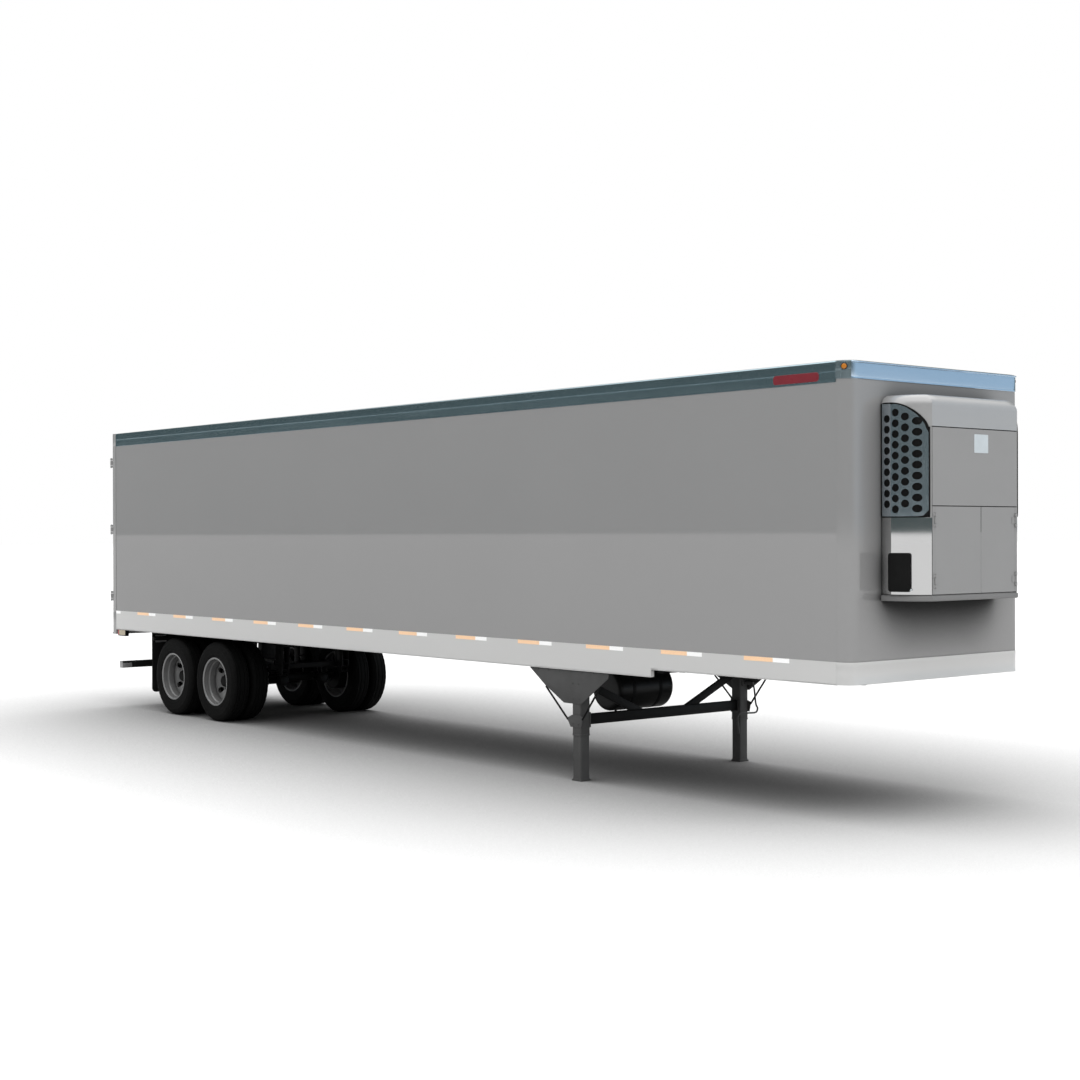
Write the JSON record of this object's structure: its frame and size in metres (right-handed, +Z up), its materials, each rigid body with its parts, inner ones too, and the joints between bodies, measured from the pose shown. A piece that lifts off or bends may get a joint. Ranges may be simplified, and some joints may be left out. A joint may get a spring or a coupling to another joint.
{
  "type": "refrigerated box semi trailer",
  "caption": "Long box semi trailer with tandem twin wheels, landing legs, rear swing doors and a cooling unit on its nose.",
  "frame": {"origin": "centre of the whole object's box, on the ground under the wheels", "axes": "+X towards the nose, +Y to the trailer's left, +Z up"},
  "size_m": [14.9196, 2.628, 4.1365],
  "materials": {
    "side_skin": "painted, satin",
    "bottom_rail": "bare, satin",
    "side_top_rail": "satin",
    "front_top_rail": "satin",
    "rear_frame": "satin",
    "floor": "matt",
    "chassis": "matt black",
    "leg_steel": "matt grey",
    "tyre": "matt rubber",
    "rim": "satin",
    "rubber": "matt",
    "unit_grey": "satin",
    "grille": "satin",
    "black": "matt",
    "engine": "matt",
    "amber": "gloss"
  },
  "bodies": {
    "trailer": {"side_wall_left": "side_skin", "side_wall_right": "side_skin", "front_wall": "side_skin", "roof": "side_skin", "bottom_rail_left": "bottom_rail", "bottom_rail_right": "bottom_rail", "bottom_rail_front": "bottom_rail", "top_rail_left": "side_top_rail", "top_rail_right": "side_top_rail", "top_rail_front": "front_top_rail", "rear_frame": "rear_frame", "floor": "floor", "crossmembers": "chassis", "bogie_frame": "chassis", "bogie_front_beam": "chassis", "suspension_left": "chassis", "suspension_right": "chassis", "axle_front": "chassis", "axle_rear": "chassis", "underride_guard": "chassis", "fuel_tank": "chassis", "tank_straps": "chassis", "coupler_plate": "chassis", "kingpin": "chassis", "mud_flap_left": "rubber", "mud_flap_right": "rubber", "landing_leg_left": "leg_steel", "landing_leg_right": "leg_steel", "landing_plate_left": "leg_steel", "landing_plate_right": "leg_steel", "landing_cross_tube": "leg_steel", "landing_crank": "leg_steel", "rear_corner_lamp_left": "amber", "rear_corner_lamp_right": "amber", "unit_base": "unit_grey", "unit_housing": "unit_grey", "unit_grille_left": "grille", "unit_grille_right": "grille", "control_box": "black", "engine_block": "engine"},
    "rear_door_left": {"rear_door_left": "side_skin", "lock_rods_left": "rim"},
    "rear_door_right": {"rear_door_right": "side_skin", "lock_rods_right": "rim"},
    "unit_door_left": {"unit_door_left": "unit_grey"},
    "unit_door_right": {"unit_door_right": "unit_grey"},
    "wheels_front_left": {"rims_front_left": "rim", "tyre_front_left_inner": "tyre", "tyre_front_left_outer": "tyre"},
    "wheels_front_right": {"rims_front_right": "rim", "tyre_front_right_inner": "tyre", "tyre_front_right_outer": "tyre"},
    "wheels_rear_left": {"rims_rear_left": "rim", "tyre_rear_left_inner": "tyre", "tyre_rear_left_outer": "tyre"},
    "wheels_rear_right": {"rims_rear_right": "rim", "tyre_rear_right_inner": "tyre", "tyre_rear_right_outer": "tyre"}
  },
  "joints": [
    {"name": "wheel_spin_front_left", "type": "hinge", "parent": "trailer", "child": "wheels_front_left", "pos_m": [-4.33375, 0.976, 0.552], "axis": [0, 1, 0], "continuous": true},
    {"name": "wheel_spin_front_right", "type": "hinge", "parent": "trailer", "child": "wheels_front_right", "pos_m": [-4.33375, -0.976, 0.552], "axis": [0, 1, 0], "continuous": true},
    {"name": "wheel_spin_rear_left", "type": "hinge", "parent": "trailer", "child": "wheels_rear_left", "pos_m": [-5.54375, 0.976, 0.552], "axis": [0, 1, 0], "continuous": true},
    {"name": "wheel_spin_rear_right", "type": "hinge", "parent": "trailer", "child": "wheels_rear_right", "pos_m": [-5.54375, -0.976, 0.552], "axis": [0, 1, 0], "continuous": true},
    {"name": "rear_door_hinge_left", "type": "hinge", "parent": "trailer", "child": "rear_door_left", "pos_m": [-7.44375, 1.298, 2.7], "axis": [0, 0, -1], "range_deg": [0, 270]},
    {"name": "rear_door_hinge_right", "type": "hinge", "parent": "trailer", "child": "rear_door_right", "pos_m": [-7.44375, -1.298, 2.7], "axis": [0, 0, 1], "range_deg": [0, 270]},
    {"name": "unit_door_hinge_left", "type": "hinge", "parent": "trailer", "child": "unit_door_left", "pos_m": [7.45175, 0.603, 2.4], "axis": [0, 0, 1], "range_deg": [0, 110]},
    {"name": "unit_door_hinge_right", "type": "hinge", "parent": "trailer", "child": "unit_door_right", "pos_m": [7.45175, -0.603, 2.4], "axis": [0, 0, -1], "range_deg": [0, 110]}
  ]
}
